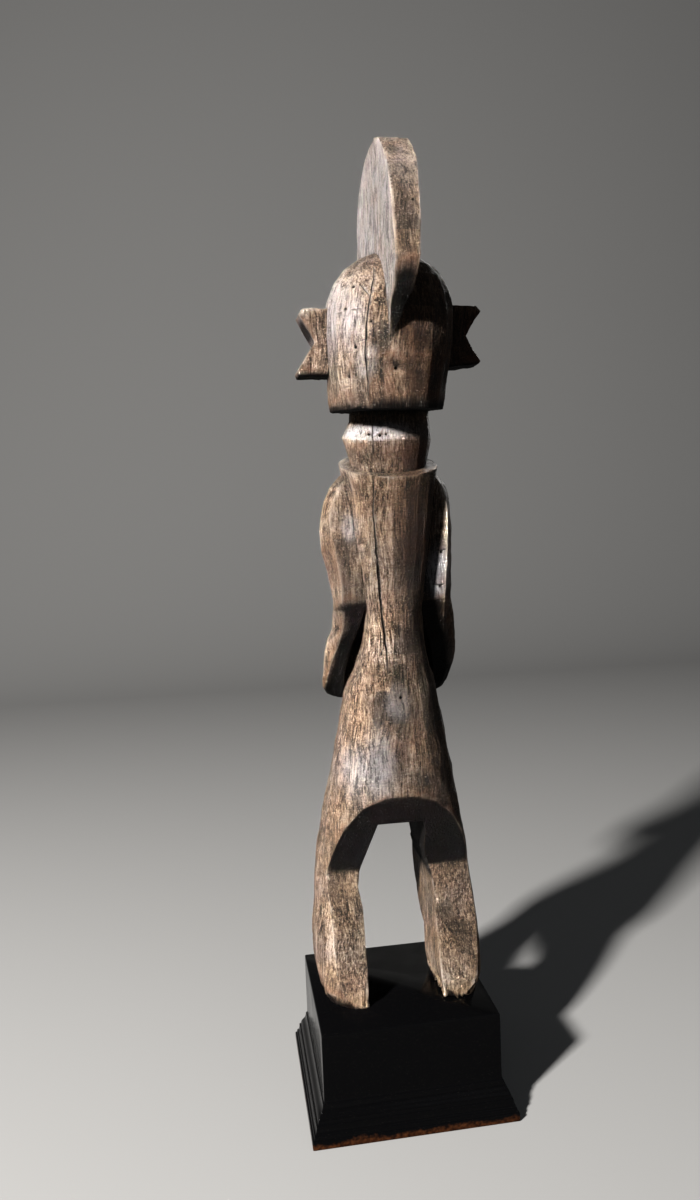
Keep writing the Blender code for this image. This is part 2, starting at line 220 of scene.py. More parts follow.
lacquer = bpy.data.materials.new("black_lacquer_brown_at_foot")
lacquer.use_nodes = True
tree = lacquer.node_tree
shader = tree.nodes["Principled BSDF"]
place = add(tree, "ShaderNodeTexCoord").outputs["Object"]
height = add(tree, "ShaderNodeSeparateXYZ", {"Vector": place}).outputs["Z"]
clouds = noise(tree, place, 45.0, 4.0)
chips = noise(tree, place, 420.0, 3.0)
dust = noise(tree, place, 1800.0, 2.0)
reach = reckon(tree, "MULTIPLY_ADD", clouds, 0.0075, -0.0006)
reach = reckon(tree, "MULTIPLY_ADD", chips, 0.003, reach)
# Brown and rougher along the bottom edge
brown_foot = reckon(tree, "SUBTRACT", reach, height)
brown_foot = reckon(tree, "MULTIPLY_ADD", brown_foot, 420.0, 0.0)
brown_foot = add(tree, "ShaderNodeClamp", {"Value": brown_foot}).outputs[0]
brown_foot_colour = ramp(tree, chips, [(0.35, (0.012, 0.004, 0.002)), (0.68, (0.06, 0.021, 0.008))])
specks = ramp(tree, dust, [(0.66, 0.0), (0.74, 1.0)])
black = blend_colours(tree, specks, (0.0016, 0.0016, 0.0018), (0.010, 0.009, 0.008))
tree.links.new(blend_colours(tree, brown_foot, black, brown_foot_colour), shader.inputs["Base Color"])
gloss = ramp(tree, clouds, [(0.3, 0.10), (0.7, 0.2)])
tree.links.new(blend_colours(tree, brown_foot, gloss, (0.6, 0.6, 0.6)), shader.inputs["Roughness"])
waves = noise(tree, place, 70.0, 2.0)
relief = reckon(tree, "MULTIPLY_ADD", brown_foot, -0.5, waves)
bump = add(tree, "ShaderNodeBump", {"Height": relief, "Strength": 0.12, "Distance": 0.001})
tree.links.new(bump.outputs["Normal"], shader.inputs["Normal"])
shader.inputs["Specular IOR Level"].default_value = 0.025

profile = softened(MOULDING_LINE, EDGE_GUARD)
to_centre, outward = square_path(CORNER_STEPS, SIDE_STEPS)
points = carried(profile, to_centre, outward, CORNER_ROUND)
plinth = piece_of("lacquered_plinth", points, ring_faces(len(profile), len(to_centre)))
plinth.data.shade_smooth()
plinth.data.materials.append(lacquer)
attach(plinth, "root")
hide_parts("plinth")

# Figure: cracks and insect holes
# The figure is one piece of hardwood, and its feet stand on the plinth. Drying has opened a long crack down
# the back of its head, neck and torso, and beetles have left round holes. Both are cut into a copy of the
# solid, as thin wedges and short round pegs.
BACK = 1
FRONT = -1
# Side, half width, depth, and the line as x and height, in millimetres
CRACKS = {
    "head_crack": (
        BACK,
        0.5,
        4.5,
        [(4.9, 536.5), (9.2, 517.5), (12.2, 503.9), (13.6, 486.6), (12.9, 473.9), (12.0, 457.0)],
    ),
    "head_branch": (BACK, 0.3, 3.0, [(9.4, 517.0), (11.5, 521.5), (14.0, 526.0)]),
    "neck_crack": (BACK, 0.4, 3.0, [(6.2, 447.0), (6.4, 437.9), (6.7, 426.8), (7.3, 421.0)]),
    "torso_crack": (
        BACK,
        0.85,
        5.0,
        [
            (7.9, 417.5),
            (8.5, 389.2),
            (7.1, 368.3),
            (6.1, 351.1),
            (4.9, 331.7),
            (3.7, 317.5),
            (2.5, 302.7),
            (2.7, 288.0),
        ],
    ),
    "front_crack": (FRONT, 0.45, 3.5, [(-3.0, 262.0), (-4.5, 235.0), (-3.5, 212.0)]),
}
# X, height and radius in millimetres
BACK_HOLES = [
    (8.7, 439.6, 0.9),
    (2.2, 438.8, 1.1),
    (-1.5, 439.4, 0.8),
    (17.8, 525.4, 1.2),
    (23.2, 512.9, 1.0),
    (9.9, 503.1, 0.8),
    (19.1, 489.2, 1.1),
    (22.5, 472.5, 0.9),
    (-3.6, 475.3, 1.3),
    (-12.6, 565.5, 1.0),
    (-5.5, 271.4, 1.2),
    (-38.2, 363.5, 1.0),
    (-37.1, 341.1, 0.9),
    (-9.0, 600.0, 0.8),
    (-2.0, 609.0, 0.9),
    (-4.6, 610.0, 0.8),
    (-7.2, 608.0, 1.0),
    (6.0, 300.0, 0.8),
]
BACK_HOLE_DEPTH = 0.005
OTHER_HOLES = 16
OTHER_HOLE_DEPTH = 0.004
OTHER_HOLE_RADII = (0.0006, 0.0011)
PEG_SIDES = 10
FAR_OUT = 0.3


def corners_of(mesh):
    """All vertex places as one array."""
    places = np.empty(len(mesh.vertices) * 3)
    mesh.vertices.foreach_get("co", places)
    return places.reshape(-1, 3)


def triangles_of(mesh):
    """All faces as triangles of vertex numbers."""
    mesh.calc_loop_triangles()
    threes = np.empty(len(mesh.loop_triangles) * 3, np.int64)
    mesh.loop_triangles.foreach_get("vertices", threes)
    return threes.reshape(-1, 3)


def dice(cells, seed):
    """A repeatable number from -1 to 1 for each lattice cell, mixed from its three whole numbers."""
    mix = cells[:, 0] * 73856093 ^ cells[:, 1] * 19349663 ^ cells[:, 2] * 83492791 ^ seed * 2654435761
    mix = (mix ^ (mix >> 13)) * 1274126177 & 0xFFFFFFFF
    mix = (mix ^ (mix >> 15)) * 668265263 & 0xFFFFFFFF
    return ((mix ^ (mix >> 16)) & 0xFFFF) / 32767.5 - 1


def unevenness(places, size, seed):
    """Smooth values from -1 to 1: lattice numbers of this cell size, blended along S-curves from corner to
    corner."""
    grid = places / np.asarray(size)
    low = np.floor(grid).astype(np.int64)
    share = grid - low
    share = share * share * (3 - 2 * share)
    total = np.zeros(len(places))
    for corner in np.ndindex(2, 2, 2):
        corner = np.array(corner)
        weight = np.prod(np.where(corner == 1, share, 1 - share), axis=1)
        total += weight * dice(low + corner, seed)
    return total


def wedge(name, side, half_width, deep, line, surface):
    """A blade along a line of (x, height): at each point a triangle with its base outside the wood and its
    tip as deep as the crack, and both shrink towards the ends like a sine."""
    proud = 1.5
    line = np.array(line)
    rows = np.linspace(0, len(line) - 1, len(line) * 5)
    across = np.interp(rows, np.arange(len(line)), line[:, 0])
    height = np.interp(rows, np.arange(len(line)), line[:, 1])
    on_line = np.column_stack([rows * 0, rows * 0, height])
    across = across + 0.3 * unevenness(on_line, 3.0, 61)
    swell = np.sin(np.linspace(0.06, np.pi - 0.06, len(rows))) ** 0.35
    hits = []
    for a, h in zip(across, height):
        hit = surface.ray_cast(Vector((a / 1000, side * FAR_OUT, h / 1000)), Vector((0, -side, 0)))[0]
        hits.append(hit.y * 1000)
    wide = half_width * swell * (1 + 0.35 * unevenness(on_line, 5.0, 62))
    reach = deep * swell
    out = np.array(hits) + side * proud
    inner = np.array(hits) - side * reach
    wide = wide * (reach + proud) / reach
    rings = np.stack(
        [
            np.column_stack([across - wide, out, height]),
            np.column_stack([across, inner, height]),
            np.column_stack([across + wide, out, height]),
        ],
        axis=1,
    )
    return as_cutter(name, rings.reshape(-1, 3) / 1000, len(rows), 3)


def as_cutter(name, points, levels, around):
    """Closes stacks of rings into bodies whose faces point outwards. Each body has this many levels."""
    faces = []
    for start in range(0, len(points), levels * around):
        faces += ring_faces(levels, around, start)
    thing = piece_of(name, points, faces)
    closed = bmesh.new()
    closed.from_mesh(thing.data)
    bmesh.ops.triangulate(closed, faces=closed.faces)
    bmesh.ops.recalc_face_normals(closed, faces=closed.faces)
    closed.to_mesh(thing.data)
    closed.free()
    return thing


def peg(centre, out, radius, deep):
    """A round peg across the surface: two rings about the outward direction, one outside and one inside."""
    proud = 0.0015
    out = np.array(out) / np.linalg.norm(out)
    side = np.cross(out, [0.0, 0.0, 1.0])
    side = side / np.linalg.norm(side)
    over = np.cross(out, side)
    turn = np.linspace(0, 2 * np.pi, PEG_SIDES, endpoint=False)[:, None]
    ring = radius * (np.cos(turn) * side + np.sin(turn) * over)
    rings = np.stack([np.array(centre) + ring + out * proud, np.array(centre) + ring * 0.9 - out * deep])
    return rings.reshape(-1, 3)


def cut(target, tool):
    """Takes the tool's shape out of the wood and keeps the result as the mesh."""
    step = target.modifiers.new("cut", "BOOLEAN")
    step.operation = "DIFFERENCE"
    step.solver = "EXACT"
    step.object = tool
    bpy.context.view_layer.update()
    shape = bpy.data.meshes.new_from_object(target.evaluated_get(bpy.context.evaluated_depsgraph_get()))
    target.modifiers.clear()
    target.data = shape
    bpy.data.objects.remove(tool)


# The copy drops the frame's own marks and joins the corners that its faces share
figure = frame["nodes"]["figure"].copy()
figure.data = figure.data.copy()
figure.parent = None
figure.name = "carved_figure"
bpy.context.scene.collection.objects.link(figure)
for key in list(figure.keys()):
    del figure[key]
joined = bmesh.new()
joined.from_mesh(figure.data)
bmesh.ops.remove_doubles(joined, verts=joined.verts, dist=1e-6)
joined.to_mesh(figure.data)
joined.free()
plain_places, plain_threes = corners_of(figure.data), triangles_of(figure.data)
surface = BVHTree.FromPolygons(plain_places.tolist(), plain_threes.tolist())
for name, (side, half_width, deep, line) in CRACKS.items():
    cut(figure, wedge(name, side, half_width, deep, line, surface))
pegs = []
for across, height, radius in BACK_HOLES:
    start = Vector((across / 1000, FAR_OUT, height / 1000))
    hit, out, number, away = surface.ray_cast(start, Vector((0, -1, 0)))
    pegs.append(peg(hit, out, radius / 1000, BACK_HOLE_DEPTH))

# More holes at the front by chance, on steep faces, away from the face and from the gap between the legs
chance = np.random.default_rng(17)
centres = plain_places[plain_threes].mean(axis=1)
spans = plain_places[plain_threes]
cross = np.cross(spans[:, 1] - spans[:, 0], spans[:, 2] - spans[:, 0])
area = np.linalg.norm(cross, axis=1)
off_face = (centres[:, 2] < 0.45) | (centres[:, 2] > 0.54)
off_gap = (np.abs(centres[:, 0]) > 0.034) | (centres[:, 2] > 0.2)
steep = np.abs(cross[:, 2]) < 0.7 * area
share = np.where((centres[:, 1] < 0) & off_face & off_gap & steep, area, 0)
for spot in chance.choice(len(share), OTHER_HOLES, replace=False, p=share / share.sum()):
    radius = chance.uniform(*OTHER_HOLE_RADII)
    pegs.append(peg(centres[spot], cross[spot] / area[spot], radius, OTHER_HOLE_DEPTH))
cut(figure, as_cutter("holes", np.vstack(pegs), 2, PEG_SIDES))

# Figure: the carved form
# Cut with an adze and a knife from crest to feet and never sanded. The skin is split finely and keeps the
# solid's facets as crisp planes, with shallow tool cuts and worn edges worked over them.
LONGEST_EDGE = 0.0031
ON_SURFACE = 0.00002
CRISP_BEND = 5.0
RIDGE_BEND = 30.0
LONG_CUT = (0.0125, 0.0125, 0.055)
SHORT_CUT = (0.0115, 0.0115, 0.0185)
SMALL_CUT = (0.0075, 0.0075, 0.011)
LONG_SEED = 11
SHORT_SEED = 23
SMALL_SEED = 31


def edges_of(mesh):
    """All edges as pairs of vertex numbers."""
    pairs = np.empty(len(mesh.edges) * 2, np.int64)
    mesh.edges.foreach_get("vertices", pairs)
    return pairs.reshape(-1, 2)


def finely_split(places, threes, labels, longest):
    """Splits every edge longer than this at its middle, round after round. A triangle with one, two or three
    split edges becomes two, three or four triangles that use the same middles as their neighbours, so the
    skin stays closed. Each new triangle keeps its parent's label."""
    while True:
        starts, ends = threes, np.roll(threes, -1, axis=1)
        keys = np.minimum(starts, ends) * len(places) + np.maximum(starts, ends)
        edges, index = np.unique(keys.reshape(-1), return_inverse=True)
        one, other = edges // len(places), edges % len(places)
        long = np.linalg.norm(places[one] - places[other], axis=1) > longest
        if not long.any():
            return places, threes, labels
        number = np.where(long, len(places) - 1 + np.cumsum(long), -1)
        places = np.vstack([places, (places[one] + places[other])[long] / 2])
        middles = number[index].reshape(-1, 3)
        split = middles >= 0
        count = split.sum(axis=1)
        turn = np.where(count == 1, np.argmax(split, axis=1), (np.argmin(split, axis=1) + 1) % 3)
        order = (np.arange(3) + turn[:, None]) % 3
        a, b, c = np.take_along_axis(threes, order, axis=1).T
        ab, bc, ca = np.take_along_axis(middles, order, axis=1).T
        whole, single, double, triple = (count == k for k in range(4))
        first_way = np.linalg.norm(places[a] - places[bc], axis=1)
        second_way = np.linalg.norm(places[ab] - places[c], axis=1)
        near = first_way < second_way
        parts = [threes[whole]]
        marks = [labels[whole]]
        for chosen, corners in (
            (single, ((a, ab, c), (ab, b, c))),
            (double, ((ab, b, bc),)),
            (double & near, ((a, ab, bc), (a, bc, c))),
            (double & ~near, ((a, ab, c), (ab, bc, c))),
            (triple, ((a, ab, ca), (ab, b, bc), (ca, bc, c), (ab, bc, ca))),
        ):
            parts += [np.column_stack(corner)[chosen] for corner in corners]
            marks += [labels[chosen]] * len(corners)
        threes = np.vstack(parts)
        labels = np.concatenate(marks)


def gathered(count, where, values):
    """Adds up rows of values that share a vertex number."""
    return np.column_stack([np.bincount(where, values[:, k], count) for k in range(values.shape[1])])


def outward_of(places, threes):
    """Each vertex's outward direction: the sum of its triangles' cross products, made unit length."""
    a, b, c = places[threes[:, 0]], places[threes[:, 1]], places[threes[:, 2]]
    cross = np.cross(b - a, c - a)
    total = gathered(len(places), threes.reshape(-1), np.repeat(cross, 3, axis=0))
    return total / np.maximum(np.linalg.norm(total, axis=1, keepdims=True), 1e-12)


def neighbour_mean(values, pairs, rounds):
    """Each vertex's mean of its neighbours' values, taken again from the means for this many rounds."""
    ends = np.concatenate([pairs[:, 0], pairs[:, 1]])
    others = np.concatenate([pairs[:, 1], pairs[:, 0]])
    total = np.bincount(ends, minlength=len(values))[:, None] + 1e-9
    for turn in range(rounds):
        values = gathered(len(values), ends, values[others]) / total
    return values


def tool_cuts(places, size, seed):
    """Squared distance to the nearest cut's centre, in cut sizes, and that cut's own number from -1 to 1. The
    centres are lattice cells moved by chance, so raising the surface by the first leaves shallow scoops that
    meet in edges."""
    grid = places / np.asarray(size)
    cell = np.floor(grid).astype(np.int64)
    nearest = np.full(len(places), 9.0)
    mark = np.zeros(len(places))
    for step in np.ndindex(3, 3, 3):
        beside = cell + np.array(step) - 1
        centre = beside + 0.5 + 0.36 * np.column_stack([dice(beside, seed + k) for k in range(3)])
        away = np.sum((grid - centre) ** 2, axis=1)
        mark = np.where(away < nearest, dice(beside, seed + 3), mark)
        nearest = np.minimum(nearest, away)
    return np.minimum(nearest, 0.62), mark


def fade(value, start, end):
    """0 before start, 1 after end, and an S-curve between."""
    share = np.clip((value - start) / (end - start), 0, 1)
    return share * share * (3 - 2 * share)


def crisp_edges(pairs, threes, normals, count, bend):
    """True for each edge whose two triangles come from planes that differ by more than this many degrees."""
    starts, ends = threes, np.roll(threes, -1, axis=1)
    keys = (np.minimum(starts, ends) * count + np.maximum(starts, ends)).reshape(-1)
    order = np.argsort(keys, kind="stable")
    one, other = order[0::2] // 3, order[1::2] // 3
    alike = np.sum(normals[one] * normals[other], axis=1)
    found = np.searchsorted(keys[order][0::2], pairs.min(axis=1) * count + pairs.max(axis=1))
    return alike[found] < np.cos(np.radians(bend))


# Each triangle takes the direction of the solid's face that it lies on, or is marked as inside a cut
places, threes = corners_of(figure.data), triangles_of(figure.data)
planes = np.empty((len(threes), 3))
inside = np.zeros(len(threes), bool)
corners = places[threes]
own = np.cross(corners[:, 1] - corners[:, 0], corners[:, 2] - corners[:, 0])
own /= np.maximum(np.linalg.norm(own, axis=1, keepdims=True), 1e-15)
for number, centre in enumerate(corners.mean(axis=1)):
    spot, out, index, away = surface.find_nearest(centre)
    inside[number] = away > ON_SURFACE
    planes[number] = own[number] if inside[number] else out
places, threes, labels = finely_split(places, threes, np.arange(len(threes)), LONGEST_EDGE)
planes, inside = planes[labels], inside[labels]
facing = outward_of(places, threes[~inside])
figure.data = bpy.data.meshes.new("fine_skin")
figure.data.from_pydata(places, [], threes.tolist())
pairs = edges_of(figure.data)
x, y, z = places.T

# Long adze strokes run down the torso and arms, short ones cover the hips and the head, and small ones lie
# over all of them. Each is taken about its own mean, so the skin stays where the solid is.
long_cuts = tool_cuts(places, LONG_CUT, LONG_SEED)[0] - 0.24
short_cuts = tool_cuts(places, SHORT_CUT, SHORT_SEED)[0] - 0.26
small_cuts = tool_cuts(places, SMALL_CUT, SMALL_SEED)[0] - 0.26
on_hips = fade(z, 0.315, 0.285) * fade(z, 0.150, 0.175)
on_head = fade(z, 0.452, 0.460)
on_crest = fade(z, 0.545, 0.556)
on_face = on_head * fade(y, -0.016, -0.024) * fade(z, 0.536, 0.526)
on_legs = fade(z, 0.165, 0.148)
short_share = np.maximum(on_hips, on_head)
depth = long_cuts * 0.0013 * (1 - short_share) + short_cuts * short_share * (0.0015 - 0.0004 * on_head)
depth += small_cuts * 0.0004
depth *= (1 - 0.85 * on_face) * (1 - 0.65 * on_crest) * (1 - 0.6 * on_legs)
depth += unevenness(places, (0.03, 0.03, 0.06), 5) * 0.0004
depth += unevenness(places, (0.004, 0.004, 0.02), 6) * 0.00022
depth += unevenness(places, (0.0022, 0.0022, 0.006), 7) * 0.00012 * (1 - 0.6 * on_face)

# Age has taken the sharp edges down unevenly, most at the feet, whose rim is chipped above the plinth
smooth = neighbour_mean(places, pairs, 10)
standing_out = np.sum((places - smooth) * facing, axis=1)
on_edge = fade(standing_out, 0.0005, 0.0016)
bites = unevenness(places, (0.006, 0.006, 0.009), 41) * 0.5
bites += unevenness(places, (0.0025, 0.0025, 0.004), 42) * 0.5
depth -= on_edge * np.clip(bites + 0.15, 0, 1) * 0.0009 * (1 - 0.7 * on_face)
at_feet = fade(z, 0.082, 0.070)
frays = unevenness(places, (0.0024, 0.0024, 0.011), 51)
depth -= at_feet * (0.0006 + 0.0020 * np.clip(frays + 0.2, 0, 1)) * (np.abs(facing[:, 2]) < 0.8)
chips = unevenness(places, (0.0035, 0.0035, 0.02), 52)
lift = fade(standing_out, 0.0002, 0.0010) * fade(z, 0.074, 0.070) * np.clip(chips + 0.1, 0, 1) * 0.0045

# The walls beside the gap between the legs keep the solid's plain line, and the right one is levelled over a
# small step. Everything stays above the plinth and inside the solid's box.
beside_gap = fade(np.abs(x + 0.002), 0.036, 0.028) * fade(z, 0.138, 0.144) * fade(z, 0.200, 0.192)
places = places + facing * (depth * (1 - 0.92 * beside_gap))[:, None]
inner_wall = -0.0266 + 0.25 * (z - 0.146)
at_step = (z > 0.1455) & (z < 0.156) & (x > -0.030) & (x < -0.0195)
places[:, 0] = np.where(at_step, np.minimum(places[:, 0], inner_wall), places[:, 0])
places[:, 2] = np.maximum(places[:, 2] + lift, PLINTH_TOP / 1000 + 0.00005)
lowest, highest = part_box("figure")
places = np.clip(places, np.array(lowest), np.array(highest))
figure.data.vertices.foreach_set("co", places.reshape(-1))
figure.data.shade_smooth()
crisp = figure.data.attributes.new("sharp_edge", "BOOLEAN", "EDGE")
crisp.data.foreach_set("value", crisp_edges(pairs, threes, planes, len(places), CRISP_BEND))
figure.data.update()

# Figure: painted shade, painted sheen and shadows, and worn edges
# Shade is painted into the cracks, the holes and the places that turn down, with a reddish band round it,
# high places are paler and hollows darker, and sheen, highlights and shadows are painted on given patches,
# while handling has rubbed edges pale. Each is kept as one number at every point of the skin, for the finish
# below.

# Middle x and height, half width and half height in millimetres, and strength
# Patches of painted sheen and highlights
SHEEN_PATCHES = [
    (20.5, 506.0, 9.0, 18.0, 0.5),
    (13.0, 480.0, 6.0, 9.0, 0.5),
    (6.0, 441.0, 26.0, 6.0, 1.0),
    (22.0, 382.0, 5.0, 8.0, 0.8),
    (-37.0, 350.0, 9.0, 16.0, 1.0),
    (10.0, 228.0, 10.0, 24.0, 0.5),
    (24.0, 222.0, 10.0, 18.0, 0.6),
    (-4.0, 268.0, 8.0, 12.0, 0.4),
    (-12.0, 585.0, 8.0, 14.0, 0.25),
]
# Patches of painted shadow
PAINTED_SHADOWS = [
    (-9.0, 565.0, 11.0, 34.0, 0.35),
    (-32.0, 505.0, 24.0, 42.0, 0.75),
    (-15.0, 498.0, 12.0, 20.0, 1.0),
    (-60.0, 500.0, 20.0, 34.0, 0.9),
    (-18.5, 388.0, 16.0, 60.0, 0.9),
    (-17.0, 318.0, 9.0, 38.0, 0.6),
    (-36.0, 240.0, 15.0, 75.0, 0.75),
    (-8.0, 262.0, 11.0, 40.0, 0.3),
]


def ovals(patches, across, high, where):
    """The strongest of several soft oval patches at each point, each a bell curve of the squared distance."""
    value = np.zeros(len(across))
    for middle_x, middle_z, wide, tall, strength in patches:
        spread = ((across - middle_x) / wide) ** 2 + ((high - middle_z) / tall) ** 2
        value = np.maximum(value, strength * np.exp(-(spread**2)) * where)
    return value


# How far each point stands out of its close and its wider surroundings
skin_facing = outward_of(places, threes)
near_mean = neighbour_mean(places, pairs, 6)
wide_mean = neighbour_mean(near_mean, pairs, 16)
fine_relief = np.sum((places - near_mean) * skin_facing, axis=1)
broad_relief = np.sum((places - wide_mean) * skin_facing, axis=1)
relief_value = np.clip(0.5 + fine_relief / 0.0018 + broad_relief / 0.03, 0, 1)

# Shade is painted on places that face down, or lie inside the gap, a crack or a hole, and a reddish band is
# painted round it
broad_facing = neighbour_mean(skin_facing, pairs, 5)
# Painted shade: faces that turn down are darkened, and so are the walls beside the gap, the cracks and the
# holes
painted_shade_value = fade(-broad_facing[:, 2], 0.02, 0.42)
inwards = fade(-skin_facing[:, 0] * np.sign(x + 0.002), 0.3, 0.6)
painted_shade_value = np.maximum(painted_shade_value, beside_gap * inwards)
in_cut = np.bincount(threes[inside].reshape(-1), minlength=len(places)) > 0
on_skin = np.bincount(threes[~inside].reshape(-1), minlength=len(places)) > 0
near_painted_shade = neighbour_mean(painted_shade_value[:, None], pairs, 5)[:, 0]
# A reddish band is painted along the edge of the painted shade
shade_rim_value = fade(broad_relief, 0.0003, 0.0012) * fade(near_painted_shade, 0.02, 0.3)
shade_rim_value *= (1 - painted_shade_value) * (1 - beside_gap)
painted_shade_value = np.maximum(painted_shade_value, np.where(in_cut, np.where(on_skin, 0.5, 1.0), 0.0))

# Sharp ridges are rubbed pale here and there, and this also paints a highlight along them
ridges = pairs[crisp_edges(pairs, threes, planes, len(places), RIDGE_BEND)].reshape(-1)
ridge_wear_and_highlight_value = np.bincount(ridges, minlength=len(places)) > 0
ridge_wear_and_highlight_value = ridge_wear_and_highlight_value * fade(standing_out, 0.0003, 0.0009) * (1 - painted_shade_value)
ridge_wear_and_highlight_value *= np.clip(0.35 + 0.9 * unevenness(places, (0.006, 0.006, 0.014), 91), 0, 1)

# A pale bluish sheen is painted on patches of the back, on the neck's bevel where it faces up and on the
# crest's left side, which faces the lamp, and shadows are painted on other patches
across, back, high = places.T * 1000
painted_sheen_value = ovals(SHEEN_PATCHES, across, high, skin_facing[:, 1] > 0)
on_bevel = (high > 430) & (high < 452)
painted_sheen_value *= np.where(on_bevel, fade(skin_facing[:, 2], 0.0, 0.12), 1.0)
lit_crest_side = fade(skin_facing[:, 0], 0.6, 0.9) * fade(high, 478, 510)
painted_sheen_value = np.maximum(painted_sheen_value, 0.55 * lit_crest_side)
painted_sheen_value *= 0.75 + 0.35 * unevenness(places, (0.005, 0.005, 0.008), 71)
painted_shadow_value = ovals(PAINTED_SHADOWS, across, high, skin_facing[:, 0] < 0.6)

# Each facet and each tool cut has its own tone. Light and shade are painted on too: facets turned to the
# left, towards the lamp, and the backs of the calves are paler, and those turned to the right darker
turned = np.round(np.arctan2(planes[:, 1], planes[:, 0]) * 10 / np.pi)
middle = places[threes].mean(axis=1)
run = np.floor(middle[:, 2] / 0.06 + 0.35 * turned)
cells = np.column_stack([turned, run, np.round(planes[:, 2] * 3)]).astype(np.int64)
short_here = ((middle[:, 2] > 0.16) & (middle[:, 2] < 0.3)) | (middle[:, 2] > 0.456)
short_mark = tool_cuts(middle, SHORT_CUT, SHORT_SEED)[1]
long_mark = tool_cuts(middle, LONG_CUT, LONG_SEED)[1]
cut_tone = np.where(short_here, short_mark, long_mark)
cut_tone *= np.where((middle[:, 1] < -0.016) & (middle[:, 2] > 0.456), 0.25, 1.0)
behind_calf = (middle[:, 2] < 0.15) & (planes[:, 1] > 0.5)
facet_tone_and_light_value = 0.5 + 0.32 * dice(cells, 369) + 0.27 * planes[:, 0] + 0.3 * cut_tone + 0.22 * behind_calf
for name, kind, value in (
    ("facet_tone_and_light", "FACE", np.clip(facet_tone_and_light_value, 0, 1)),
    ("relief", "POINT", relief_value),
    ("painted_shade", "POINT", painted_shade_value),
    ("painted_shade_rim", "POINT", shade_rim_value),
    ("painted_sheen", "POINT", painted_sheen_value),
    ("painted_shadow", "POINT", painted_shadow_value),
    ("ridge_wear_and_highlight", "POINT", ridge_wear_and_highlight_value),
):
    kept = figure.data.attributes.new(name, "FLOAT", kind)
    kept.data.foreach_set("value", value.astype(np.float32))

# Figure: the old wood
# Dry grey-brown hardwood with long upright fibres, dark pores and fine nicks across the grain. Shade is
# painted nearly black with a reddish band round it, sheen and shadows are painted on patches, and the feet
# show tan end grain.


def of_skin(tree, name):
    """The number that the skin keeps under this name."""
    return add(tree, "ShaderNodeAttribute", attribute_name=name).outputs["Fac"]


wood = bpy.data.materials.new("weathered_carved_wood")
wood.use_nodes = True
tree = wood.node_tree
shader = tree.nodes["Principled BSDF"]
place = add(tree, "ShaderNodeTexCoord").outputs["Object"]
height = add(tree, "ShaderNodeSeparateXYZ", {"Vector": place}).outputs["Z"]
relief = of_skin(tree, "relief")

# The patterns: a drift bends the grain, which is stretched upright for the fibres and level for the nicks
drift = add(tree, "ShaderNodeTexNoise", {"Vector": place, "Scale": 22.0, "Detail": 2.0}).outputs["Color"]
drift = add(tree, "ShaderNodeVectorMath", {0: drift, 1: (0.5, 0.5, 0.5)}, operation="SUBTRACT").outputs[0]
drift = add(tree, "ShaderNodeVectorMath", {0: drift, "Scale": 0.012}, operation="SCALE").outputs[0]
bent = add(tree, "ShaderNodeVectorMath", {0: place, 1: drift}, operation="ADD").outputs[0]
upright = add(tree, "ShaderNodeMapping", {"Vector": bent, "Scale": (1.0, 0.65, 0.09)}).outputs[0]
level = add(tree, "ShaderNodeMapping", {"Vector": bent, "Scale": (0.16, 0.16, 1.0)}).outputs[0]
fibres = noise(tree, upright, 1000.0, 4.0, 0.6)
streaks = noise(tree, upright, 230.0, 4.0, 0.6)
nicks = noise(tree, level, 520.0, 3.0, 0.6)
patches = noise(tree, place, 26.0, 5.0, 0.6)
crumbs = noise(tree, place, 900.0, 3.0, 0.6)
pores = add(tree, "ShaderNodeTexVoronoi", {"Vector": upright, "Scale": 520.0}).outputs["Distance"]

# The dry wood's colour, each facet's own tone, pale crumbs, dark nicks and pores
tone = reckon(tree, "MULTIPLY_ADD", fibres, 1.0, reckon(tree, "MULTIPLY", streaks, 0.45))
tone = reckon(tree, "MULTIPLY_ADD", crumbs, 0.4, reckon(tree, "SUBTRACT", tone, 0.55))
tone = reckon(tree, "MULTIPLY_ADD", patches, 0.25, tone)
# High places are paler and hollows darker
tone = reckon(tree, "MULTIPLY_ADD", reckon(tree, "SUBTRACT", relief, 0.5), 0.2, tone)
colour = ramp(
    tree,
    tone,
    [
        (0.36, (0.013, 0.009, 0.006)),
        (0.45, (0.064, 0.041, 0.027)),
        (0.54, (0.124, 0.087, 0.061)),
        (0.69, (0.27, 0.213, 0.168)),
    ],
)
# Each facet's own tone, with painted light and shade by the way it is turned
facet_tone_and_light = ramp(tree, of_skin(tree, "facet_tone_and_light"), [(0.1, 0.22), (0.5, 0.66), (0.9, 0.98)])
colour = blend_colours(tree, 1.0, colour, facet_tone_and_light, "MULTIPLY")
specks = ramp(tree, crumbs, [(0.60, 0.0), (0.68, 1.0)])
colour = blend_colours(tree, reckon(tree, "MULTIPLY", specks, 0.3), colour, (0.37, 0.32, 0.28))
cool = ramp(tree, patches, [(0.42, (1.06, 0.98, 0.89)), (0.60, (0.96, 0.99, 1.04))])
colour = blend_colours(tree, 1.0, colour, cool, "MULTIPLY")
nick_lines = ramp(tree, nicks, [(0.33, 1.0), (0.40, 0.0)])
colour = blend_colours(tree, reckon(tree, "MULTIPLY", nick_lines, 0.55), colour, (0.03, 0.019, 0.012))
pore_dots = ramp(tree, pores, [(0.10, 1.0), (0.22, 0.0)])
colour = blend_colours(tree, reckon(tree, "MULTIPLY", pore_dots, 0.5), colour, (0.02, 0.013, 0.009))

